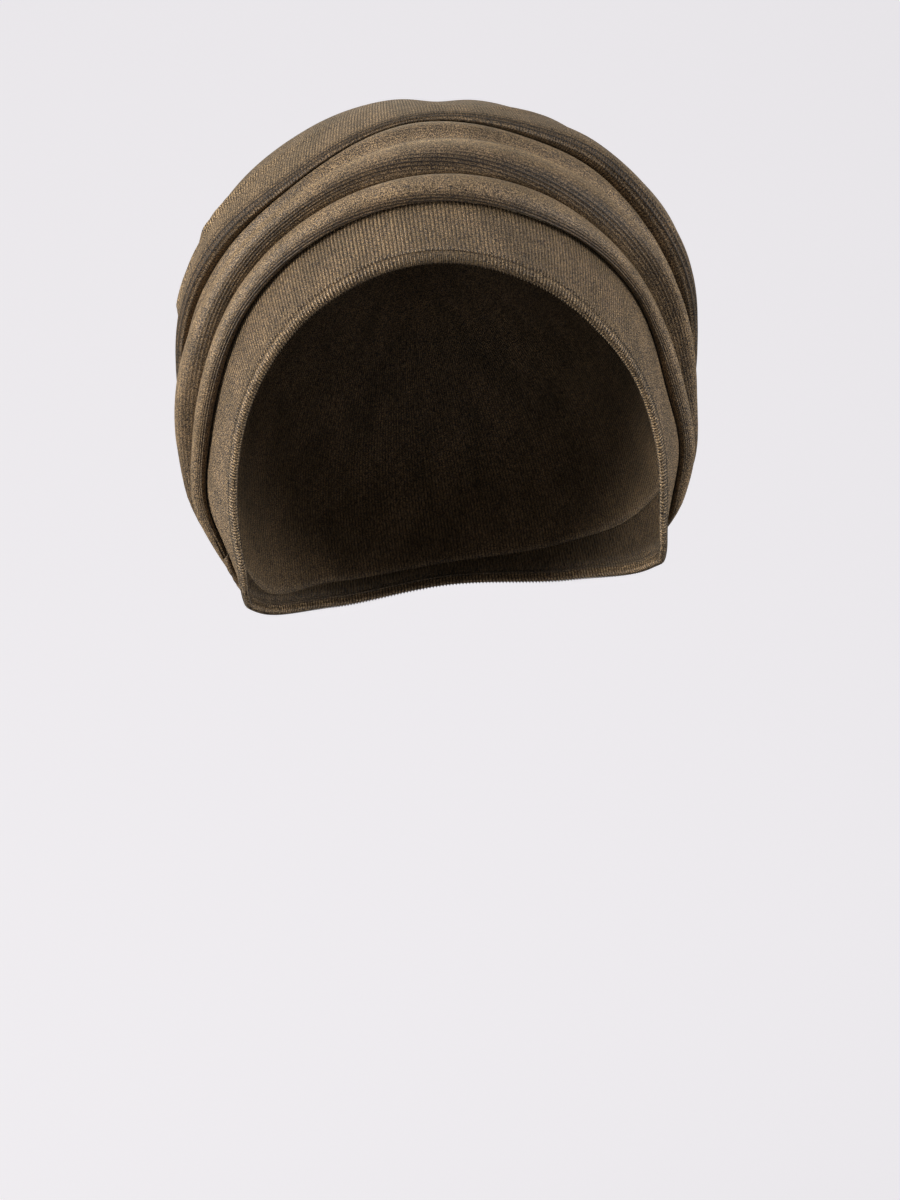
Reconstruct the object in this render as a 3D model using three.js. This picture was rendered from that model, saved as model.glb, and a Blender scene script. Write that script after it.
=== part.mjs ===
// A pre-tied turban headwrap in stretch knit, as it sits on a head: a fitted cap with a ribbed
// hem, a narrow front roll, a wide draped pleat and a loose crown whose front edge is folded
// under. Millimetres, +Z up, the face looks along -Y, and the wearer's left is +X.
// The origin is the seat: the point inside the crown where the top of the head touches.
import * as THREE from "three";

// --- Driving dimensions ---------------------------------------------------------------------

// The head that the cap is worn on: an ellipsoid in eight parts round a centre under the seat.
const HEAD = {
  halfWidth: 81.5, // over the pressed ears
  front: 93,
  back: 97,
  above: 103, // from the centre up to the seat
  below: 150,
  napeTuck: 0.7, // how far the head draws in to the neck, behind and below
};
// The cloth over each ear stands off the head by this much at most.
const EAR = { stand: 4.2, around: 98, from: 104, spreadAround: 15, spreadFrom: 9 };

const KNIT = 1.3; // one layer of the knit, doubled over and sewn
const HEM = { width: 4.4, thickness: 2.5 };
const GAP = 0.5; // air between two pieces that lie on each other

// The axis that the wrap is drawn round runs from the head's centre up and back to the crown's
// pole, so that every fold is a loop round it. Directions on the head are two angles: "around"
// is 0 at the forehead, +90 at the wearer's left and 180 at the nape, and "from" is measured
// from the pole.
const POLE_RISE = 48.7; // degrees above the horizon, towards the back
const MM_PER_DEGREE = 1.66; // along the head, for the width of a fold

// One row for each section round the opening. Angles from the pole: hem, the front roll's two
// edges, the drape's lower edge, its crease and the crown's folded edge. Heights over the head:
// the roll's crest, the drape's crest, the shelf that the crown's edge rests on, and the crown.
const COLUMNS = [
  "around", "hem", "rollLow", "rollHigh", "drapeLow", "crease", "crownEdge",
  "roll", "drape", "shelf", "crown",
];
const SECTIONS = [
  [-180, 94.0, 90.5, 90.0, 89.6, 85.0, 80.0, 3.0, 7.0, 4.5, 12.0],
  [-150, 103.0, 99.5, 99.0, 98.6, 88.0, 82.5, 3.0, 6.5, 4.5, 12.5],
  [-125, 116.0, 113.6, 113.0, 112.3, 97.0, 86.0, 2.6, 5.0, 4.0, 12.5],
  [-105, 123.5, 110.4, 105.2, 104.5, 94.5, 85.0, 5.4, 7.2, 5.5, 12.0],
  [-95, 121.5, 105.0, 99.8, 99.1, 91.0, 82.5, 7.0, 10.8, 7.0, 12.0],
  [-85, 118.8, 100.8, 95.4, 94.7, 87.0, 80.0, 7.6, 13.0, 8.3, 12.8],
  [-65, 113.2, 97.3, 91.6, 90.9, 82.0, 76.0, 7.8, 13.0, 9.2, 15.8],
  [-45, 108.0, 91.4, 85.6, 84.9, 79.0, 75.2, 7.4, 11.7, 9.3, 16.8],
  [-25, 103.6, 88.2, 82.2, 81.5, 76.4, 73.0, 7.2, 10.2, 8.3, 12.6],
  [0, 101.4, 86.6, 79.8, 79.1, 71.0, 64.5, 7.0, 9.5, 8.2, 10.8],
  [25, 104.5, 87.5, 80.0, 79.3, 70.4, 64.8, 7.0, 10.8, 9.3, 14.6],
  [45, 109.0, 88.2, 82.6, 81.9, 73.0, 65.5, 7.0, 13.4, 12.0, 20.8],
  [65, 112.7, 90.4, 85.2, 84.5, 80.8, 77.5, 6.8, 15.2, 13.6, 23.5],
  [85, 118.0, 98.9, 94.0, 93.3, 89.0, 85.5, 8.2, 13.4, 11.0, 16.8],
  [105, 124.5, 110.4, 105.5, 104.8, 97.5, 92.0, 6.2, 7.5, 5.5, 11.0],
  [125, 116.0, 109.0, 103.5, 102.8, 94.0, 88.5, 4.8, 6.5, 4.5, 12.0],
  [150, 103.0, 99.0, 95.0, 94.3, 88.0, 82.5, 4.5, 6.5, 4.5, 12.5],
];
const CROWN_AT_POLE = 13; // the loose crown's height over the head at the pole
// Shallow dents in the crown: the soft notch over the forehead and the gathers above the nape.
const NOTCH = { around: 9, from: 42, depth: 2.6, spreadAround: 7, spreadFrom: 22 };
const GATHERS = { count: 7, depth: 1.6, spreadAround: 38 };

const ROLL_ENDS = { right: 158, left: -118 }; // the roll tapers out at these angles

// --- The head and the directions on it ------------------------------------------------------

const radians = THREE.MathUtils.degToRad;
const centre = new THREE.Vector3(0, 0, -HEAD.above);
const pole = new THREE.Vector3(0, Math.cos(radians(POLE_RISE)), Math.sin(radians(POLE_RISE)));
const forehead = new THREE.Vector3(0, -pole.z, pole.y);
const side = new THREE.Vector3(1, 0, 0);

function direction(around, from) {
  const a = radians(around);
  const f = radians(from);
  return new THREE.Vector3()
    .addScaledVector(side, Math.sin(f) * Math.sin(a))
    .addScaledVector(forehead, Math.sin(f) * Math.cos(a))
    .addScaledVector(pole, Math.cos(f));
}

function headRadius(d) {
  const length = d.y < 0 ? HEAD.front : HEAD.back;
  const height = d.z > 0 ? HEAD.above : HEAD.below;
  const radius = 1 / Math.hypot(d.x / HEAD.halfWidth, d.y / length, d.z / height);
  return radius * (1 - HEAD.napeTuck * Math.max(0, d.y) * Math.max(0, -d.z) ** 2);
}

const bell = (distance, spread) => Math.exp(-((distance / spread) ** 2));

function earStand(around, from) {
  return (
    EAR.stand *
    bell(Math.abs(around) - EAR.around, EAR.spreadAround) *
    bell(from - EAR.from, EAR.spreadFrom)
  );
}

// A point at a height over the head, in the part's frame.
function onHead(around, from, height) {
  const turned = ((around + 540) % 360) - 180;
  const d = direction(turned, from);
  return d.multiplyScalar(headRadius(d) + earStand(turned, from) + height).add(centre);
}

// The value of a named column at any angle, on a smooth closed curve through the rows.
function section(column, around) {
  const c = COLUMNS.indexOf(column);
  const rows = SECTIONS.length;
  const turned = ((around + 540) % 360) - 180;
  let i = 0;
  while (i < rows - 1 && SECTIONS[i + 1][0] <= turned) i += 1;
  const knot = (k) => {
    const row = SECTIONS[(k + rows) % rows];
    return [row[0] + 360 * Math.floor(k / rows), row[c]];
  };
  const [[x0, y0], [x1, y1], [x2, y2], [x3, y3]] = [i - 1, i, i + 1, i + 2].map(knot);
  const t = (turned - x1) / (x2 - x1);
  const slopeIn = ((y2 - y0) / (x2 - x0)) * (x2 - x1);
  const slopeOut = ((y3 - y1) / (x3 - x1)) * (x2 - x1);
  return (
    (2 * t ** 3 - 3 * t ** 2 + 1) * y1 +
    (t ** 3 - 2 * t ** 2 + t) * slopeIn +
    (-2 * t ** 3 + 3 * t ** 2) * y2 +
    (t ** 3 - t ** 2) * slopeOut
  );
}

// --- Walls: a profile across the cloth, given a thickness and lofted round the head ----------

// A profile is a list of [from, height] from the lower edge to the upper. Its inner side lies
// one wall inwards, at right angles to the profile; at the pole it stays on the axis.
function withWall(profile, wall) {
  const flat = profile.map(([from, height]) => new THREE.Vector2(-from * MM_PER_DEGREE, height));
  const inner = flat.map((p, i) => {
    if (profile[i][0] === 0) return [0, p.y - wall];
    const before = flat[Math.max(i - 1, 0)];
    const after = flat[Math.min(i + 1, flat.length - 1)];
    const along = after.clone().sub(before).normalize();
    return [-(p.x + along.y * wall) / MM_PER_DEGREE, p.y - along.x * wall];
  });
  return [...profile, ...inner.reverse()];
}

// A wall that lies straight on the head from one angle to another, between two heights.
function flatWall(low, high, inside, outside, steps) {
  const at = (i) => low + ((high - low) * i) / steps;
  const outer = Array.from({ length: steps + 1 }, (_, i) => [at(i), outside]);
  const inner = Array.from({ length: steps + 1 }, (_, i) => [at(steps - i), inside]);
  return [...outer, ...inner];
}

// Lofts closed profiles through sections at the given angles. A ring's last section joins its
// first; a strip has a flat cap at each end. Triangles that shrink to a line are left out.
function loft(angles, profileAt, ring) {
  const loops = angles.map((around) =>
    profileAt(around).map(([from, height]) => onHead(around, from, height)),
  );
  const size = loops[0].length;
  const positions = [];
  const face = (a, b, c) => {
    if (a.distanceTo(b) < 1e-3 || b.distanceTo(c) < 1e-3 || c.distanceTo(a) < 1e-3) return;
    positions.push(...a.toArray(), ...b.toArray(), ...c.toArray());
  };
  const quad = (a, b, c, d) => {
    face(a, b, c);
    face(a, c, d);
  };
  const spans = ring ? angles.length : angles.length - 1;
  for (let s = 0; s < spans; s += 1) {
    const here = loops[s];
    const next = loops[(s + 1) % angles.length];
    for (let k = 0; k < size; k += 1) {
      const m = (k + 1) % size;
      quad(here[k], next[k], next[m], here[m]);
    }
  }
  if (!ring) {
    const first = loops[0];
    const last = loops[loops.length - 1];
    for (let k = 0; k < size / 2 - 1; k += 1) {
      const m = size - 1 - k;
      quad(first[k], first[k + 1], first[m - 1], first[m]);
      quad(last[m], last[m - 1], last[k + 1], last[k]);
    }
  }
  return new THREE.BufferGeometry().setAttribute(
    "position",
    new THREE.Float32BufferAttribute(positions, 3),
  );
}

const ringAngles = (count) => Array.from({ length: count }, (_, i) => -180 + (360 * i) / count);

// A smooth line through [from, height] points, sampled evenly.
function smoothLine(points, steps) {
  const curve = new THREE.CatmullRomCurve3(
    points.map(([from, height]) => new THREE.Vector3(from * MM_PER_DEGREE, height, 0)),
    false,
    "centripetal",
  );
  return curve.getPoints(steps).map((p) => [p.x / MM_PER_DEGREE, p.y]);
}

// --- The pieces' profiles --------------------------------------------------------------------

const hemWidth = HEM.width / MM_PER_DEGREE;
const gapWidth = GAP / MM_PER_DEGREE;
const rest = KNIT + GAP; // what lies on the cap starts at this height

// The hem: a thick rounded edge round the whole opening.
function hemProfile(around) {
  const low = section("hem", around);
  const high = low - hemWidth;
  const round = hemWidth / 4;
  return [
    [low, HEM.thickness * 0.3],
    [low - round, HEM.thickness],
    [high + round, HEM.thickness],
    [high, HEM.thickness * 0.6],
    [high, 0],
    [high + round, 0],
    [low - round, 0],
    [low, 0],
  ];
}

// The cap: one even layer from the hem over the crown.
function capProfile(around) {
  return flatWall(section("hem", around) - hemWidth - gapWidth, 0, 0, KNIT, 11);
}

// The front roll: a hollow half-round pleat whose belly hangs over its lower edge.
function rollProfile(around) {
  const steps = 8;
  const low = section("rollLow", around);
  const width = low - section("rollHigh", around) - gapWidth;
  const crest = section("roll", around);
  const overhang = 0.14 * width;
  return withWall(
    Array.from({ length: steps + 1 }, (_, i) => {
      const turn = (Math.PI * i) / steps;
      const along = (1 - Math.cos(turn)) / 2;
      const hang = overhang * Math.sin(turn) * (1 - along);
      return [low - width * along + hang, rest + (crest - rest) * Math.sin(turn) ** 0.75];
    }),
    KNIT,
  );
}

// The drape: foot, crest, crease, shelf, and a tail tucked under the crown.
function drapeProfile(around) {
  const low = section("drapeLow", around);
  const crease = section("crease", around);
  const edge = section("crownEdge", around);
  const crest = section("drape", around);
  const shelf = section("shelf", around);
  const width = low - crease;
  return withWall(
    smoothLine(
      [
        [low, rest],
        [low - 0.04 * width, rest + (crest - rest) * 0.62],
        [low - 0.36 * width, crest],
        [low - 0.72 * width, crest * 0.95],
        [crease, Math.min(crest * 0.84, shelf + 1)],
        [(crease + edge) / 2, shelf + 1.1],
        [edge, shelf],
        [edge - 2.2, rest + 1],
      ],
      13,
    ),
    KNIT,
  );
}

function crownDent(around, from) {
  const notch =
    NOTCH.depth *
    bell(around - NOTCH.around, NOTCH.spreadAround) *
    bell(from - NOTCH.from, NOTCH.spreadFrom);
  const behind = 180 - Math.abs(around);
  const gather =
    GATHERS.depth *
    bell(behind, GATHERS.spreadAround) *
    Math.min(1, from / 80) *
    (0.5 + 0.5 * Math.cos((Math.PI * behind * GATHERS.count) / GATHERS.spreadAround));
  return notch + gather;
}

// The crown: a folded edge that rests on the drape, then a loose dome up to the pole.
function crownProfile(around) {
  const edge = section("crownEdge", around);
  const shelf = section("shelf", around) + GAP;
  const crown = section("crown", around);
  const shoulder = edge - 6;
  const steps = 9;
  const lip = [
    [edge, shelf],
    [edge + 0.7, shelf + (crown - shelf) * 0.4],
    [edge - 0.7, shelf + (crown - shelf) * 0.8],
    [edge - 3, crown - 0.4],
  ];
  const dome = Array.from({ length: steps + 1 }, (_, i) => {
    const from = (shoulder * (steps - i)) / steps;
    const height = CROWN_AT_POLE + (crown - CROWN_AT_POLE) * (from / shoulder) ** 2;
    return [from, height - crownDent(around, from) * (from / shoulder)];
  });
  return withWall([...lip, ...dome], KNIT);
}

// --- The assembly ----------------------------------------------------------------------------

const headwrap = new THREE.Group();

function addPiece(name, color, geometry) {
  const material = new THREE.MeshStandardMaterial({ color, roughness: 0.75, metalness: 0 });
  const mesh = new THREE.Mesh(geometry, material);
  mesh.name = name;
  headwrap.add(mesh);
}

function rollAngles(count) {
  const { left, right } = ROLL_ENDS;
  return Array.from({ length: count }, (_, i) => left + ((right - left) * i) / (count - 1));
}

addPiece("hem_band", 0x6b5c45, loft(ringAngles(60), hemProfile, true));
addPiece("inner_cap", 0x7b6b52, loft(ringAngles(48), capProfile, true));
addPiece("front_roll", 0x7a6a50, loft(rollAngles(44), rollProfile, false));
addPiece("middle_drape", 0x78684e, loft(ringAngles(60), drapeProfile, true));
addPiece("crown_drape", 0x766850, loft(ringAngles(60), crownProfile, true));

export default headwrap;
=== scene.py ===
# %% [markdown]
# # A turban headwrap in ribbed stretch knit
#
# The wrap is sold ready tied: a fitted cap with a ribbed hem, a narrow front roll, a wide draped
# pleat and a loose crown whose front edge is folded under. This lesson builds each of them as a
# sheet of cloth on the form of a head, with real ribs in the mesh, and then dyes, lights and
# frames it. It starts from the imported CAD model, which fixes every size.

import math

import bmesh
import bpy
import numpy as np
from mathutils import Matrix, Vector


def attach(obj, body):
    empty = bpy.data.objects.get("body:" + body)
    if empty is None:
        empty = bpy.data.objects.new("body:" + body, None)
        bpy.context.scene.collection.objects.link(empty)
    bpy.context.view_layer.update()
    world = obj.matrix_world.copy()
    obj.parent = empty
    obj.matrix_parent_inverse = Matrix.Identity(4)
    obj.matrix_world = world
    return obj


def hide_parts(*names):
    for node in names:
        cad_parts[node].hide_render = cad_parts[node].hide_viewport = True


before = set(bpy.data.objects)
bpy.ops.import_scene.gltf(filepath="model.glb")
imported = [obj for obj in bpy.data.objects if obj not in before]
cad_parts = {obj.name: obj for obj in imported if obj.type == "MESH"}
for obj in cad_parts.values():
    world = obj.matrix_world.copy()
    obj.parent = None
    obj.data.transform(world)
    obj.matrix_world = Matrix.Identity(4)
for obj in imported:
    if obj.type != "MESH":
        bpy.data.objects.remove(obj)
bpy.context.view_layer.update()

# %% [markdown]
# ## The camera
#
# The wrap is seen from straight in front, from a little under chin height, with a long lens, so
# there is almost no perspective. The wearer's head leans a few degrees to their right and turns
# slightly to their left. The wrap stays upright in its own frame, so it is the camera that
# leans and turns the other way.

# %% Place the camera
MM = 0.001
SEAT_OVER_EARS = 128 * MM
LEAN = math.radians(6.5)
TURN = math.radians(2)
CAMERA_FROM_AXIS = (2.2 * MM, -1600 * MM, -43.4 * MM)

head_to_view = Matrix.Rotation(-LEAN, 4, "Y") @ Matrix.Rotation(TURN, 4, "Z")
camera = bpy.data.objects.new("camera", bpy.data.cameras.new("camera"))
camera.data.lens = 131.8
camera.data.sensor_width = 36
camera.data.clip_end = 20
looking_along_y = Matrix.Rotation(math.radians(90), 4, "X")
camera.matrix_world = (
    Matrix.Translation((0, 0, -SEAT_OVER_EARS))
    @ head_to_view.inverted()
    @ Matrix.Translation(CAMERA_FROM_AXIS)
    @ looking_along_y
)
bpy.context.scene.collection.objects.link(camera)
bpy.context.scene.camera = camera
print("camera at", [round(c, 3) for c in camera.matrix_world.translation])

# %% [markdown]
# ## The head form
#
# Cloth that is worn takes the head's form, so every piece is placed at a height over one simple
# head: an ellipsoid that is longer behind than in front and draws in at the neck. Directions on
# it are two angles. "Around" is 0 at the forehead, +90 at the wearer's left and 180 at the nape.
# "From" is measured from a pole at the back of the crown, so that each fold is a loop round that
# pole. Working in these angles makes a fold one short row of numbers.

# %% Measure the head and turn angles into points
HEAD_HALF_WIDTH = 81.5
HEAD_FRONT, HEAD_BACK = 93, 97
HEAD_ABOVE, HEAD_BELOW = 103, 150
NAPE_TUCK = 0.7
EAR_STAND, EAR_AROUND, EAR_FROM = 4.2, 98, 104
POLE_RISE = math.radians(48.7)
MM_PER_DEGREE = 1.66

pole = np.array([0, math.cos(POLE_RISE), math.sin(POLE_RISE)])
forehead = np.array([0, -pole[2], pole[1]])
side = np.array([1.0, 0, 0])


def bell(distance, spread):
    return np.exp(-((distance / spread) ** 2))


def head_radius(d):
    length = np.where(d[..., 1] < 0, HEAD_FRONT, HEAD_BACK)
    height = np.where(d[..., 2] > 0, HEAD_ABOVE, HEAD_BELOW)
    spread = (d[..., 0] / HEAD_HALF_WIDTH) ** 2 + (d[..., 1] / length) ** 2
    radius = (spread + (d[..., 2] / height) ** 2) ** -0.5
    behind = np.clip(d[..., 1], 0, None)
    beneath = np.clip(-d[..., 2], 0, None)
    return radius * (1 - NAPE_TUCK * behind * beneath**2)


def on_head(around, from_pole, height):
    """Points over the head, in metres, from angles in degrees and heights in millimetres."""
    turned = (np.asarray(around) + 180) % 360 - 180
    a, f = np.radians(turned)[..., None], np.radians(from_pole)[..., None]
    d = np.sin(f) * np.sin(a) * side + np.sin(f) * np.cos(a) * forehead + np.cos(f) * pole
    ear = EAR_STAND * bell(abs(turned) - EAR_AROUND, 15) * bell(from_pole - EAR_FROM, 9)
    reach = head_radius(d) + ear + height
    return (d * reach[..., None] + np.array([0, 0, -HEAD_ABOVE])) * MM


print("the head is", 2 * HEAD_HALF_WIDTH, "mm wide and", HEAD_FRONT + HEAD_BACK, "mm long")

# %% [markdown]
# ## The folds, as a table
#
# A dressmaker would pin this wrap at a few places round the head and let the cloth run smoothly
# between the pins. The table does the same. Each row is one place round the head. The first
# columns say how far from the pole each edge lies, and the last ones how far the cloth stands
# off the head. A smooth closed curve joins the rows.

# %% Write the table and read it at any angle
COLUMNS = (
    "around hem roll_low roll_high drape_low crease crown_edge roll drape shelf crown"
).split()
SECTIONS = np.array([
    (-180, 94.0, 90.5, 90.0, 89.6, 85.0, 80.0, 3.0, 7.0, 4.5, 12.0),
    (-150, 103.0, 99.5, 99.0, 98.6, 88.0, 82.5, 3.0, 6.5, 4.5, 12.5),
    (-125, 116.0, 113.6, 113.0, 112.3, 97.0, 86.0, 2.6, 5.0, 4.0, 12.5),
    (-105, 123.5, 110.4, 105.2, 104.5, 94.5, 85.0, 5.4, 7.2, 5.5, 12.0),
    (-95, 121.5, 105.0, 99.8, 99.1, 91.0, 82.5, 7.0, 10.8, 7.0, 12.0),
    (-85, 118.8, 100.8, 95.4, 94.7, 87.0, 80.0, 7.6, 13.0, 8.3, 12.8),
    (-65, 113.2, 97.3, 91.6, 90.9, 82.0, 76.0, 7.8, 13.0, 9.2, 15.8),
    (-45, 108.0, 91.4, 85.6, 84.9, 79.0, 75.2, 7.4, 11.7, 9.3, 16.8),
    (-25, 103.6, 88.2, 82.2, 81.5, 76.4, 73.0, 7.2, 10.2, 8.3, 12.6),
    (0, 101.4, 86.6, 79.8, 79.1, 71.0, 64.5, 7.0, 9.5, 8.2, 10.8),
    (25, 104.5, 87.5, 80.0, 79.3, 70.4, 64.8, 7.0, 10.8, 9.3, 14.6),
    (45, 109.0, 88.2, 82.6, 81.9, 73.0, 65.5, 7.0, 13.4, 12.0, 20.8),
    (65, 112.7, 90.4, 85.2, 84.5, 80.8, 77.5, 6.8, 15.2, 13.6, 23.5),
    (85, 118.0, 98.9, 94.0, 93.3, 89.0, 85.5, 8.2, 13.4, 11.0, 16.8),
    (105, 124.5, 110.4, 105.5, 104.8, 97.5, 92.0, 6.2, 7.5, 5.5, 11.0),
    (125, 116.0, 109.0, 103.5, 102.8, 94.0, 88.5, 4.8, 6.5, 4.5, 12.0),
    (150, 103.0, 99.0, 95.0, 94.3, 88.0, 82.5, 4.5, 6.5, 4.5, 12.5),
])


def section(column, around):
    """One column of the table at any angles, on a smooth closed curve through its rows."""
    c = COLUMNS.index(column)
    rows = len(SECTIONS)
    turned = (np.asarray(around, float) + 180) % 360 - 180
    here = np.searchsorted(SECTIONS[:, 0], turned, side="right") - 1

    def knot(k):
        return SECTIONS[k % rows, 0] + 360 * (k // rows), SECTIONS[k % rows, c]

    (x0, y0), (x1, y1), (x2, y2), (x3, y3) = (knot(here + k) for k in (-1, 0, 1, 2))
    t = (turned - x1) / (x2 - x1)
    slope_in = (y2 - y0) / (x2 - x0) * (x2 - x1)
    slope_out = (y3 - y1) / (x3 - x1) * (x2 - x1)
    return (
        (2 * t**3 - 3 * t**2 + 1) * y1
        + (t**3 - 2 * t**2 + t) * slope_in
        + (3 * t**2 - 2 * t**3) * y2
        + (t**3 - t**2) * slope_out
    )


print("sections:", len(SECTIONS), "hem over the forehead:", section("hem", 0))

# %% [markdown]
# ## From a flat grid to a draped sheet
#
# Each sheet starts as a flat grid, as cloth does, with its UV map in rib pitches one way and
# millimetres the other, so that the knit follows the cloth wherever it goes. The grid's points
# are then moved to their places on the head, the ends are sewn together where the sheet is a
# ring, and a Solidify modifier gives the cloth its thickness inwards.

# %% Define the sheet maker
def drape_sheet(name, points, knit_uv, relaxed_and_painted_light, thickness, ring=True):
    """Turns a grid of points, [around, across, xyz] in metres, into a piece of cloth.

    knit_uv is the grid's [around, across, uv], and the fourth argument is how open the ribs stand
    there. It is kept on the mesh as the mask of the knit's painted shade and painted highlights.
    """
    columns, rows = points.shape[:2]
    knit_uv = np.broadcast_to(knit_uv, (columns, rows, 2))
    relaxed_and_painted_light = np.broadcast_to(relaxed_and_painted_light, (columns, rows))
    bm = bmesh.new()
    knit = bm.loops.layers.uv.new("knit")
    # The mask for painted shade under each turn and painted highlights along taut crests.
    relaxed_and_painted_light_layer = bm.verts.layers.float.new("relaxed_and_painted_light")
    bmesh.ops.create_grid(bm, x_segments=columns - 1, y_segments=rows - 1, size=1)
    for face in bm.faces:
        for loop in face.loops:
            i = round((loop.vert.co.x + 1) / 2 * (columns - 1))
            j = round((loop.vert.co.y + 1) / 2 * (rows - 1))
            loop[knit].uv = knit_uv[i, j]
    for vert in bm.verts:
        i = round((vert.co.x + 1) / 2 * (columns - 1))
        j = round((vert.co.y + 1) / 2 * (rows - 1))
        vert[relaxed_and_painted_light_layer] = relaxed_and_painted_light[i, j]
        vert.co = points[i, j]
    if ring:
        seam = [v for v in bm.verts if v.is_boundary]
        bmesh.ops.remove_doubles(bm, verts=seam, dist=1e-6)
    bmesh.ops.recalc_face_normals(bm, faces=bm.faces)
    middle = Vector((0, 0, -HEAD_ABOVE * MM))
    outward = sum(f.normal.dot(f.calc_center_median() - middle) * f.calc_area() for f in bm.faces)
    if outward < 0:
        bmesh.ops.reverse_faces(bm, faces=bm.faces)
    mesh = bpy.data.meshes.new(name)
    bm.to_mesh(mesh)
    bm.free()
    mesh.shade_smooth()
    piece = bpy.data.objects.new(name, mesh)
    bpy.context.scene.collection.objects.link(piece)
    if thickness:
        wall = piece.modifiers.new("cloth thickness", "SOLIDIFY")
        wall.thickness = thickness * MM
        wall.offset = -1
    print(f"{name}: {len(mesh.polygons)} faces before thickness")
    return piece


# %% [markdown]
# ## Profiles across a fold
#
# A fold's cross-section is drawn with a handful of points, each an angle from the pole and a
# height, and a smooth curve through them. The curve is walked in equal steps, so that the ribs
# that run along the fold keep an even pitch. The ribs themselves are pushed out at right angles
# to the cloth. They stand up where the cloth is relaxed, under a turn, and are pulled nearly
# flat over a crest.

# %% Define the profile and the ribs
def smooth_profile(points, steps):
    """A smooth line through control points, evenly walked: [around, step, (from, height)]."""
    p = np.stack([np.stack(np.broadcast_arrays(f, h), -1) for f, h in points], 1).astype(float)
    p[..., 0] *= MM_PER_DEGREE
    padded = np.concatenate([2 * p[:, :1] - p[:, 1:2], p, 2 * p[:, -1:] - p[:, -2:-1]], 1)
    t = np.linspace(0, 1, 17)[:-1, None]
    spans = []
    for k in range(p.shape[1] - 1):
        a, b, c, d = (padded[:, k + n, None, :] for n in range(4))
        spans.append(
            0.5 * (2 * b + (c - a) * t + (2 * a - 5 * b + 4 * c - d) * t**2
                   + (3 * b - a - 3 * c + d) * t**3)
        )
    line = np.concatenate([*spans, p[:, -1:]], 1)
    walked = np.linalg.norm(np.diff(line, axis=1), axis=-1).cumsum(1)
    walked = np.pad(walked, ((0, 0), (1, 0)))
    even = np.linspace(0, 1, steps)
    out = np.empty((len(line), steps, 2))
    for i, (stretch, reach) in enumerate(zip(line, walked)):
        for n in (0, 1):
            out[i, :, n] = np.interp(even * reach[-1], reach, stretch[:, n])
    return out


def push_out(profile, amount):
    """Moves each point of a profile at right angles to it, by an amount in millimetres."""
    along = np.gradient(profile, axis=1)
    along /= np.linalg.norm(along, axis=-1, keepdims=True)
    moved = profile.copy()
    moved[..., 0] += along[..., 1] * amount
    moved[..., 1] -= along[..., 0] * amount
    return moved


def rib(turns):
    """A row of rounded ribs, one for each whole number, from 0 in a groove to 1 on a rib."""
    return abs(np.sin(np.pi * turns)) ** 0.8


def place(around, profile):
    return on_head(around[:, None], profile[..., 0] / MM_PER_DEGREE, profile[..., 1])


def angles(steps, start=-180, end=180):
    return np.linspace(start, end, steps)


def knit_map(around, turns_round, across, turns_across, drift=0.0):
    """The UV map: ribs or stitches counted round the head, and across the cloth."""
    u = np.asarray(around)[:, None] / 360 * turns_round + 0 * across
    v = across * turns_across + np.asarray(drift)
    return np.stack(np.broadcast_arrays(u, v), -1)


# %% [markdown]
# ## The hem
#
# The edge of the cap is folded over a narrow elastic and stitched, so the knit's ribs stand up
# round it like the teeth of a comb. They are the crispest detail of the wrap, so each one is
# modelled: a closed tube round the opening, rippled once for every rib.

# %% Roll the hem
KNIT = 1.2
HEM_RIBS = 440
HEM_WIDTH = 4.6
hem_round = angles(HEM_RIBS * 6 + 1)
hem_low = section("hem", hem_round)
hem_step = 1 / MM_PER_DEGREE
hem_profile = smooth_profile(
    [
        (hem_low - 2.2 * hem_step, 0.5),
        (hem_low - 0.5 * hem_step, 0.15),
        (hem_low + 0.1 * hem_step, 0.9),
        (hem_low - 0.5 * hem_step, 2.0),
        (hem_low - 2.2 * hem_step, 2.7),
        (hem_low - 3.9 * hem_step, 2.2),
        (hem_low - 4.6 * hem_step, 1.2),
        (hem_low - 3.8 * hem_step, 0.6),
        (hem_low - 2.2 * hem_step, 0.5),
    ],
    17,
)
hem_ripple = 0.6 * (rib(hem_round / 360 * HEM_RIBS) - 0.6)
hem_profile = push_out(hem_profile, -hem_ripple[:, None])
hem_profile[:, -1] = hem_profile[:, 0]
across = np.linspace(0, 1, 17)[None, :]
hem_uv = knit_map(hem_round, HEM_RIBS, across, 20)
hem = drape_sheet("hem_rib", place(hem_round, hem_profile), hem_uv, 0, 0)
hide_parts("hem_band")

# %% [markdown]
# ## The cap
#
# Above the hem the base of the wrap is one even layer that clings to the forehead. A soft ridge
# runs just above the hem, where its inner edge is stitched down. The front of the layer has its
# ribs in the mesh. What lies under the folds is a plain, coarser lining.

# %% Lay the cap
cap_round = angles(HEM_RIBS * 4 + 1)
cap_low = section("hem", cap_round) - 3.2 * hem_step
cap_high = section("roll_high", cap_round) - 3
down = np.linspace(0, 1, 26)[None, :] ** 1.25
cap_from = cap_low[:, None] + (cap_high - cap_low)[:, None] * down
above_hem = (cap_low[:, None] - cap_from) * MM_PER_DEGREE
cap_height = KNIT + 0.25 + 0.95 * bell(above_hem - 2.4, 1.5) - 0.6 * bell(above_hem, 0.8)
cap_height = cap_height + 0.26 * rib(cap_round / 360 * HEM_RIBS)[:, None]
cap_profile = np.stack([cap_from * MM_PER_DEGREE, cap_height], -1)
cap_uv = knit_map(cap_round, HEM_RIBS, down, 60)
# A mask of 0.25 paints the cap and its lining a little darker: painted shade.
cap = drape_sheet("cap_front", place(cap_round, cap_profile), cap_uv, 0.25, KNIT)

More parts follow.
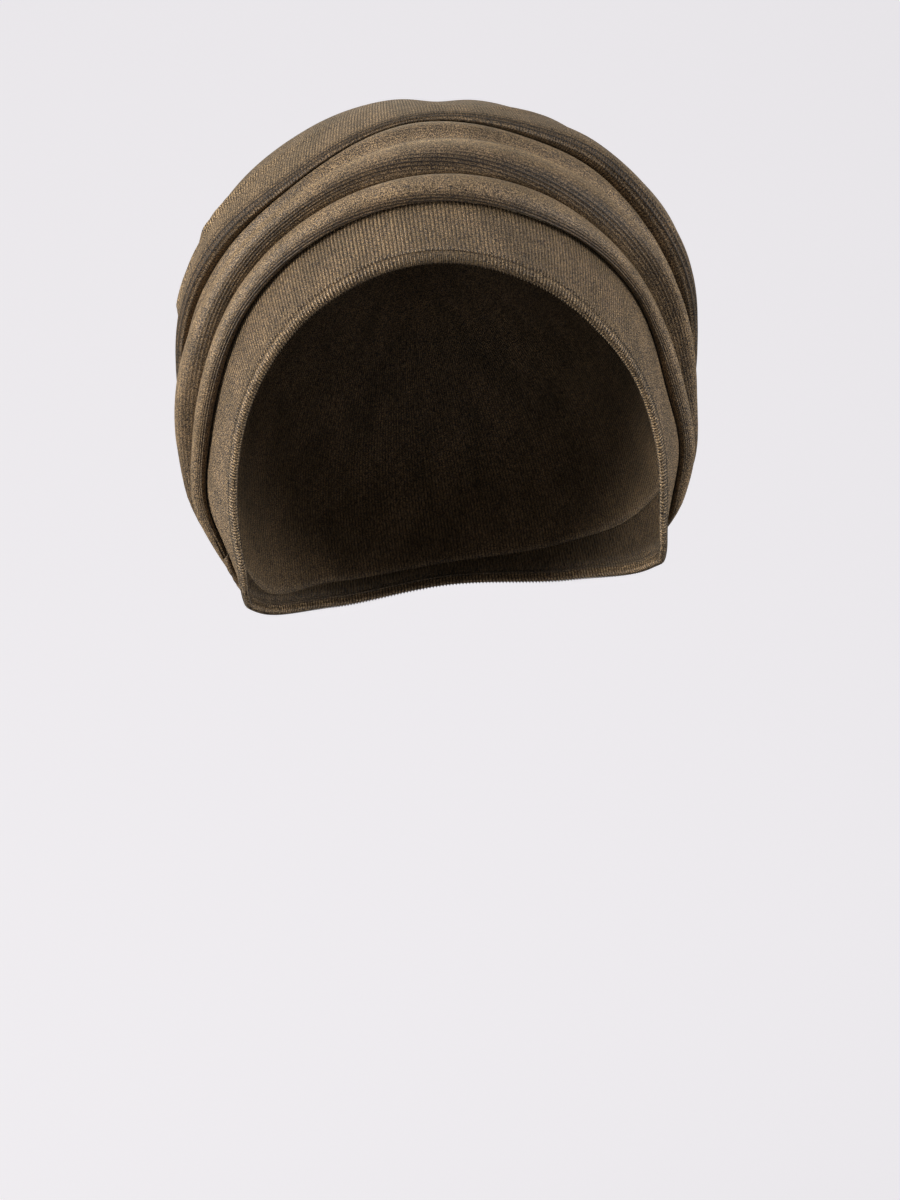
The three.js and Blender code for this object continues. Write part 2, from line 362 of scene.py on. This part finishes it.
lining_round = angles(145)
lining_high = section("roll_high", lining_round) - 3
lining_from = lining_high[:, None] * np.linspace(1, 0, 40)[None, :]
lining_profile = np.stack([lining_from * MM_PER_DEGREE, 0 * lining_from + KNIT + 0.3], -1)
lining_uv = knit_map(lining_round, HEM_RIBS, np.linspace(0, 1, 40)[None, :], 200)
lining = drape_sheet("cap_lining", place(lining_round, lining_profile), lining_uv, 0.25, KNIT)
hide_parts("inner_cap")
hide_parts("inner_cap")

# %% [markdown]
# ## The front roll
#
# A narrow pleat lies over the cap like a soft tube. Its lower side turns under and shows four or
# five ribs in shade, and its crest is pulled smooth. It is a strip whose two edges dive down to
# the cap, and it tapers out above each ear.

# %% Fold the front roll
roll_round = angles(301, -118, 158)
low = section("roll_low", roll_round)
wide = (low - section("roll_high", roll_round)) - 0.3
crest = section("roll", roll_round)
rest = KNIT + 0.6
roll_profile = smooth_profile(
    [
        (low - 0.45 * wide, rest),
        (low - 0.10 * wide, rest + 0.06 * crest),
        (low + 0.10 * wide, rest + 0.24 * crest),
        (low + 0.06 * wide, 0.66 * crest),
        (low - 0.18 * wide, 0.95 * crest),
        (low - 0.46 * wide, 1.04 * crest),
        (low - 0.78 * wide, 0.90 * crest),
        (low - wide, rest + 0.15 * crest),
        (low - 1.04 * wide, rest),
    ],
    150,
)
ROLL_RIBS = 24
across = np.linspace(0, 1, 150)[None, :]
slant = 2.2 * np.sin(np.radians(roll_round * 1.7 + 20))[:, None]
facing = (0.55 + 0.45 * bell(roll_round, 62))[:, None]
# Under the lower turn and along the upper edge, where the roll dives to the cap, the ribs stand up
# and the mask paints the cloth dark: painted shade.
ribs_open_and_painted_light = 0.08 + 0.92 * facing * bell(across - 0.32, 0.1) + 0.6 * bell(across - 0.97, 0.06)
roll_uv = knit_map(roll_round, HEM_RIBS, across, ROLL_RIBS, slant)
roll_profile = push_out(roll_profile, -0.5 * ribs_open_and_painted_light * (rib(roll_uv[..., 1]) - 0.6))
roll = drape_sheet("roll_pleat", place(roll_round, roll_profile), roll_uv, ribs_open_and_painted_light, KNIT, False)
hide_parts("front_roll")

# %% [markdown]
# ## The drape
#
# The wide pleat behind the roll has two soft crests with a crease between them, and it runs in
# under the crown's edge. Its lower side turns under like the roll's, with a broad band of ribs
# in shade.

# %% Fold the drape
drape_round = angles(301)
low = section("drape_low", drape_round)
crease = section("crease", drape_round)
edge = section("crown_edge", drape_round)
crest = section("drape", drape_round)
shelf = section("shelf", drape_round)
wide = low - crease
drape_profile = smooth_profile(
    [
        (low - 0.40 * wide, rest),
        (low - 0.08 * wide, rest + 0.02 * crest),
        (low + 0.06 * wide, rest + 0.16 * crest),
        (low + 0.08 * wide, 0.58 * crest),
        (low - 0.08 * wide, 0.90 * crest),
        (low - 0.34 * wide, 1.03 * crest),
        (low - 0.66 * wide, 0.98 * crest),
        (crease, np.minimum(crest * 0.82, shelf + 0.5)),
        (0.5 * crease + 0.5 * edge, shelf + 1.8),
        (edge, shelf),
        (edge - 2.2, rest + 1),
    ],
    155,
)
DRAPE_RIBS = 34
across = np.linspace(0, 1, 155)[None, :]
slant = 3.0 * np.sin(np.radians(drape_round * 2 - 30))[:, None]
facing = (0.5 + 0.5 * bell(drape_round - 8, 55))[:, None]
# Under the lower turn, and in a narrow band higher up, the ribs stand up and the cloth is painted
# dark: painted shade. The dip along the first crest paints a pale line: a painted highlight.
ribs_open_and_painted_light = 0.06 + 0.94 * facing * bell(across - 0.28, 0.085) + 0.35 * bell(across - 0.68, 0.05)
waver = np.sin(np.radians(drape_round * 3 + 40))[:, None]
ribs_open_and_painted_light = ribs_open_and_painted_light - (0.5 + 0.3 * waver) * bell(across - 0.5 - 0.02 * waver, 0.04)
drape_uv = knit_map(drape_round, HEM_RIBS, across, DRAPE_RIBS, slant)
drape_profile = push_out(drape_profile, -0.5 * ribs_open_and_painted_light * (rib(drape_uv[..., 1]) - 0.6))
drape = drape_sheet("drape_pleat", place(drape_round, drape_profile), drape_uv, ribs_open_and_painted_light, KNIT)
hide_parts("middle_drape")

# %% [markdown]
# ## The crown
#
# The loose crown is the rest of the wrap. Its front edge is folded under with a few ribs along
# the fold, and from there the knit's ribs run back over the head to the gathers at the nape. A
# shallow notch over the forehead and the gathers are pressed into the dome as soft dents.

# %% Puff out the crown
CROWN_AT_POLE = 13
LIP_STEPS = 62
crown_round = angles(385)
edge = section("crown_edge", crown_round)
shelf = section("shelf", crown_round) + 0.7
crown = section("crown", crown_round)
lip = smooth_profile(
    [
        (edge - 4, shelf + 0.4),
        (edge - 0.8, shelf - 0.2),
        (edge + 0.7, shelf + 0.30 * (crown - shelf)),
        (edge + 0.5, shelf + 0.68 * (crown - shelf)),
        (edge - 1.4, crown - 0.3),
        (edge - 6, crown),
    ],
    LIP_STEPS,
)
LIP_RIBS = 12
across = np.linspace(0, 1, LIP_STEPS)[None, :]
# Under the lip's fold the ribs stand up and the cloth is painted dark: painted shade.
lip_ribs_open_and_painted_shade = bell(across - 0.54, 0.14)
lip = push_out(lip, -0.65 * lip_ribs_open_and_painted_shade * (rib(across * LIP_RIBS) - 0.6))
shoulder = edge - 6
back = np.linspace(1, 0, LIP_STEPS)[None, 1:]
dome_height = CROWN_AT_POLE + (crown[:, None] - CROWN_AT_POLE) * back**2
notch = 2.6 * bell(crown_round[:, None] - 9, 7) * bell(shoulder[:, None] * back - 42, 22)
behind = 180 - abs(crown_round)[:, None]
gather = 1.6 * bell(behind, 38) * (0.5 + 0.5 * np.cos(np.pi * behind * 7 / 38))
dome_height = dome_height - (notch + gather) * back
CREASES = [  # around and from at both ends, how high the ridge stands, and its half-width
    ((-84, 84), (-30, 60), 2.3, 2.2),
    ((-80, 82), (-52, 50), 1.9, 2.4),
    ((-74, 76), (-22, 66), 1.4, 1.5),
    ((26, 62), (72, 79), 1.0, 2.6),
    ((30, 56), (84, 78), 0.8, 3.0),
    ((12, 60), (48, 48), 0.7, 3.0),
    ((150, 78), (110, 45), 1.6, 5.0),
    ((-150, 78), (-115, 42), 1.6, 5.0),
]
dome_from = shoulder[:, None] * back
painted_crease_highlight = 0 * dome_from
for (a0, f0), (a1, f1), ridge, spread in CREASES:
    scale = MM_PER_DEGREE * np.sin(np.radians(0.5 * (f0 + f1)))
    run = np.array([(a1 - a0) * scale, (f1 - f0) * MM_PER_DEGREE])
    x = (crown_round[:, None] - a0) * scale
    y = (dome_from - f0) * MM_PER_DEGREE
    t = (x * run[0] + y * run[1]) / (run @ run)
    beside = (x * run[1] - y * run[0]) / np.hypot(*run)
    along = bell(t - 0.5, 0.42)
    beside = beside + 12 * (t - 0.5) ** 2
    fold = bell(beside, spread) - 0.5 * bell(beside + 2 * spread, spread)
    dome_height = dome_height + ridge * along * fold
    # Along each crease ridge the cloth is painted pale: a painted highlight.
    painted_crease_highlight = np.minimum(painted_crease_highlight, -0.4 * ridge * along * bell(beside, 0.5 * spread))
dome = np.stack([dome_from * MM_PER_DEGREE, dome_height], -1)
crown_profile = np.concatenate([lip, dome], 1)
crown_profile[:, LIP_STEPS:, 1] = dome_height
CROWN_RIBS = 560
crown_across = np.concatenate([across * LIP_RIBS, LIP_RIBS + (1 - back) * 100], 1)
crown_uv = knit_map(crown_round, CROWN_RIBS, crown_across, 1)
crown_ribs_open_and_painted_light = np.concatenate([np.broadcast_to(lip_ribs_open_and_painted_shade, (len(painted_crease_highlight), LIP_STEPS)), painted_crease_highlight], 1)
crown_piece = drape_sheet("crown_bag", place(crown_round, crown_profile), crown_uv, crown_ribs_open_and_painted_light, KNIT)
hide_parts("crown_drape")

# %% [markdown]
# ## The knit
#
# The cloth is a fine rib knit in a shiny yarn: olive brown, with a faint gold and slate fleck
# where single stitches catch the light. The material reads the UV map, in rib pitches round the
# head and millimetres across it, so the ribs follow every fold. The fleck comes from fine noise.
# A soft sheen lifts the crests as brushed yarn does. Painted shade darkens the cloth under each
# turn and in the grooves between ribs, and a painted highlight pales the taut crests.

# %% Mix the knit
def node(tree, kind, **settings):
    made = tree.nodes.new(kind)
    for key, value in settings.items():
        setattr(made, key, value)
    return made


def math_node(tree, operation, a, b=None, c=None):
    made = node(tree, "ShaderNodeMath", operation=operation)
    for socket, value in zip(made.inputs, (a, b, c)):
        if isinstance(value, (int, float)):
            socket.default_value = value
        elif value is not None:
            tree.links.new(value, socket)
    return made.outputs[0]


def ramp(tree, socket, *stops):
    made = node(tree, "ShaderNodeValToRGB")
    while len(made.color_ramp.elements) < len(stops):
        made.color_ramp.elements.new(0.5)
    for element, (at, shade) in zip(made.color_ramp.elements, stops):
        element.position = at
        element.color = (*shade, 1)
    tree.links.new(socket, made.inputs[0])
    return made.outputs["Color"]


def blend_colours(tree, kind, a, b, amount):
    mixed = node(tree, "ShaderNodeMix", data_type="RGBA", blend_type=kind)
    if isinstance(amount, (int, float)):
        mixed.inputs["Factor"].default_value = amount
    else:
        tree.links.new(amount, mixed.inputs["Factor"])
    tree.links.new(a, mixed.inputs["A"])
    tree.links.new(b, mixed.inputs["B"])
    return mixed.outputs["Result"]


def rib_wave(tree, socket, turns=1):
    """A row of rounded ribs: 0 in each groove, 1 on each rib."""
    sine = math_node(tree, "SINE", math_node(tree, "MULTIPLY", socket, turns * math.pi))
    return math_node(tree, "ABSOLUTE", sine)


def noise(tree, vector, scale, detail=2.0, stretch=None):
    if stretch:
        mapping = node(tree, "ShaderNodeMapping")
        mapping.inputs["Scale"].default_value = stretch
        tree.links.new(vector, mapping.inputs["Vector"])
        vector = mapping.outputs["Vector"]
    made = node(tree, "ShaderNodeTexNoise")
    made.inputs["Scale"].default_value = scale
    made.inputs["Detail"].default_value = detail
    tree.links.new(vector, made.inputs["Vector"])
    return made.outputs["Fac"]


def knit_material(name, colour, round_ribs, fold_ribs, shade=1.0):
    """round_ribs is how dark the grooves across the cloth are painted, and fold_ribs those along a
    fold: painted shade in the grooves. Both also set the depth of the bumped ribs. The mask
    read from the mesh is 1 under a turn, where the ribs stand open and the cloth is painted dark
    as painted shade, and -1 along a taut crest, where it is painted pale as a painted highlight.
    shade paints this part's copy of the colour lighter or darker, as painted light and shade."""
    material = bpy.data.materials.new(name)
    material.use_nodes = True
    tree = material.node_tree
    link = tree.links.new
    cloth = tree.nodes["Principled BSDF"]
    uv = node(tree, "ShaderNodeUVMap", uv_map="knit").outputs["UV"]
    parts = node(tree, "ShaderNodeSeparateXYZ")
    link(uv, parts.inputs[0])
    painted_light_mask = node(tree, "ShaderNodeAttribute", attribute_name="relaxed_and_painted_light").outputs["Fac"]
    here = node(tree, "ShaderNodeTexCoord").outputs["Object"]

    round_wave = rib_wave(tree, parts.outputs["X"])
    fold_wave = rib_wave(tree, parts.outputs["Y"])
    r, g, b = (c * shade for c in colour)
    fleck = noise(tree, here, 3300, 0.0)
    base = ramp(
        tree, fleck,
        (0.37, (r * 0.12, g * 0.12, b * 0.15)),
        (0.48, (r * 0.74, g * 0.75, b * 0.79)),
        (0.55, (r * 1.18, g * 1.18, b * 1.12)),
        (0.65, (r * 3.0, g * 3.05, b * 2.8)),
    )
    slate = noise(tree, here, 2700, 0.0)
    slate_fleck = ramp(tree, slate, (0.62, (0.0, 0.0, 0.0)), (0.80, (0.10, 0.12, 0.16)))
    base = blend_colours(tree, "ADD", base, slate_fleck, 0.55)
    patches = noise(tree, uv, 0.09, 3.0, stretch=(1.0, 0.35, 1))
    base = blend_colours(
        tree, "MULTIPLY", base,
        ramp(tree, patches, (0.32, (0.74, 0.75, 0.74)), (0.68, (1.2, 1.2, 1.2))), 1.0,
    )
    # The grooves between the ribs are painted dark: painted shade.
    painted_groove_shade = ((0.12, (0.05, 0.045, 0.04)), (0.75, (1, 1, 1)))
    if round_ribs:
        amount = math_node(tree, "MULTIPLY_ADD", painted_light_mask, -round_ribs, round_ribs)
        base = blend_colours(tree, "MULTIPLY", base, ramp(tree, round_wave, *painted_groove_shade), amount)
    if fold_ribs:
        amount = math_node(tree, "MULTIPLY", painted_light_mask, fold_ribs)
        base = blend_colours(tree, "MULTIPLY", base, ramp(tree, fold_wave, *painted_groove_shade), amount)
    # Painted shade darkens the cloth under each turn, and a painted highlight pales each taut crest.
    painted_light_position = math_node(tree, "MULTIPLY_ADD", painted_light_mask, 0.5, 0.5)
    painted_shade_and_highlight = ramp(
        tree, painted_light_position, (0, (1.9, 1.9, 1.75)), (0.5, (1, 1, 1)), (0.6, (0.95, 0.94, 0.93)),
        (1, (0.40, 0.37, 0.34)),
    )
    base = blend_colours(tree, "MULTIPLY", base, painted_shade_and_highlight, 1.0)
    link(base, cloth.inputs["Base Color"])

    rough = node(tree, "ShaderNodeMapRange")
    rough.inputs["To Min"].default_value = 0.62
    rough.inputs["To Max"].default_value = 0.42
    link(fleck, rough.inputs["Value"])
    link(rough.outputs[0], cloth.inputs["Roughness"])

    height = math_node(tree, "MULTIPLY", round_wave, round_ribs)
    if fold_ribs:
        height = math_node(tree, "MULTIPLY_ADD", fold_wave, 0.25 * fold_ribs, height)
    ribs = node(tree, "ShaderNodeBump")
    ribs.inputs["Strength"].default_value = 0.7
    ribs.inputs["Distance"].default_value = 0.3 * MM
    link(height, ribs.inputs["Height"])
    fuzz = node(tree, "ShaderNodeBump")
    fuzz.inputs["Strength"].default_value = 0.55
    fuzz.inputs["Distance"].default_value = 0.25 * MM
    link(fleck, fuzz.inputs["Height"])
    link(ribs.outputs["Normal"], fuzz.inputs["Normal"])
    link(fuzz.outputs["Normal"], cloth.inputs["Normal"])

    cloth.inputs["Specular IOR Level"].default_value = 0.3
    cloth.inputs["Sheen Weight"].default_value = 0.25
    cloth.inputs["Sheen Roughness"].default_value = 0.35
    cloth.inputs["Sheen Tint"].default_value = (0.95, 0.82, 0.62, 1)
    return material


# One olive brown for every part. The shade factors paint the hem lighter and the cap, folds and
# crown darker, as painted light and shade.
OLIVE_BROWN = (0.190, 0.127, 0.073)
hem_knit = knit_material("hem_knit", OLIVE_BROWN, 1.0, 0, shade=1.25)
cap_knit = knit_material("cap_knit", OLIVE_BROWN, 0.9, 0, shade=0.88)
fold_knit = knit_material("fold_knit", OLIVE_BROWN, 0, 1.0, shade=0.92)
crown_knit = knit_material("crown_knit", OLIVE_BROWN, 0.75, 1.0, shade=0.95)
for piece, material, slot_name in (
    (hem, hem_knit, "hem_knit"),
    (cap, cap_knit, "cap_knit"),
    (lining, cap_knit, "cap_knit"),
    (roll, fold_knit, "roll_knit"),
    (drape, fold_knit, "drape_knit"),
    (crown_piece, crown_knit, "crown_knit"),
):
    piece.data.materials.append(material)
    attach(piece, "root")

# %% [markdown]
# ## Backdrop and light
#
# A pale floor runs up into a pale wall far behind, so no horizon shows. The key light is a large
# soft panel above and to the left of the camera, a weaker panel fills the right, and the world
# adds an even glow.

# %% Set the stage
def stage_material(name, shade):
    material = bpy.data.materials.new(name)
    material.use_nodes = True
    paper = material.node_tree.nodes["Principled BSDF"]
    paper.inputs["Base Color"].default_value = (*shade, 1)
    paper.inputs["Roughness"].default_value = 0.9
    paper.inputs["Emission Color"].default_value = (*shade, 1)
    paper.inputs["Emission Strength"].default_value = 0.42
    return material


bm = bmesh.new()
bmesh.ops.create_grid(bm, x_segments=2, y_segments=40, size=1)
FLOOR_BELOW, WALL_BEHIND, SWEEP = 0.62, 3.2, 1.6
for vert in bm.verts:
    run = (vert.co.y + 1) * 4.5
    turn = min(max((run - WALL_BEHIND) / SWEEP, 0), math.pi / 2)
    y = min(run, WALL_BEHIND) + SWEEP * math.sin(turn)
    z = SWEEP * (1 - math.cos(turn)) + max(run - WALL_BEHIND - SWEEP * math.pi / 2, 0)
    vert.co = (vert.co.x * 5, y - 2.2, z - FLOOR_BELOW)
floor_mesh = bpy.data.meshes.new("floor")
bm.to_mesh(floor_mesh)
bm.free()
floor_mesh.shade_smooth()
floor = bpy.data.objects.new("floor", floor_mesh)
floor.data.materials.append(stage_material("pale_paper", (0.80, 0.785, 0.815)))
bpy.context.scene.collection.objects.link(floor)
floor.visible_diffuse = False
floor.visible_glossy = False


def soft_panel(name, place, aim, size, power, tint=(1, 1, 1)):
    light = bpy.data.lights.new(name, "AREA")
    light.shape = "RECTANGLE"
    light.size, light.size_y = size
    light.energy = power
    light.color = tint
    panel = bpy.data.objects.new(name, light)
    panel.location = place
    toward = Vector(aim) - Vector(place)
    panel.rotation_euler = toward.to_track_quat("-Z", "Y").to_euler()
    bpy.context.scene.collection.objects.link(panel)


middle = (0, 0, -0.1)
soft_panel("key_light", (-1.9, -0.8, 0.3), middle, (0.8, 0.9), 55, (1, 0.98, 0.95))
soft_panel("top_light", (-0.2, -0.3, 1.5), middle, (1.2, 0.9), 8)
soft_panel("fill_light", (1.9, -0.8, 0.2), middle, (1.0, 1.2), 30)
world = bpy.data.worlds.new("studio")
world.use_nodes = True
world.node_tree.nodes["Background"].inputs["Color"].default_value = (0.95, 0.94, 0.96, 1)
world.node_tree.nodes["Background"].inputs["Strength"].default_value = 0.2
bpy.context.scene.world = world
bpy.context.scene.view_settings.view_transform = "Standard"
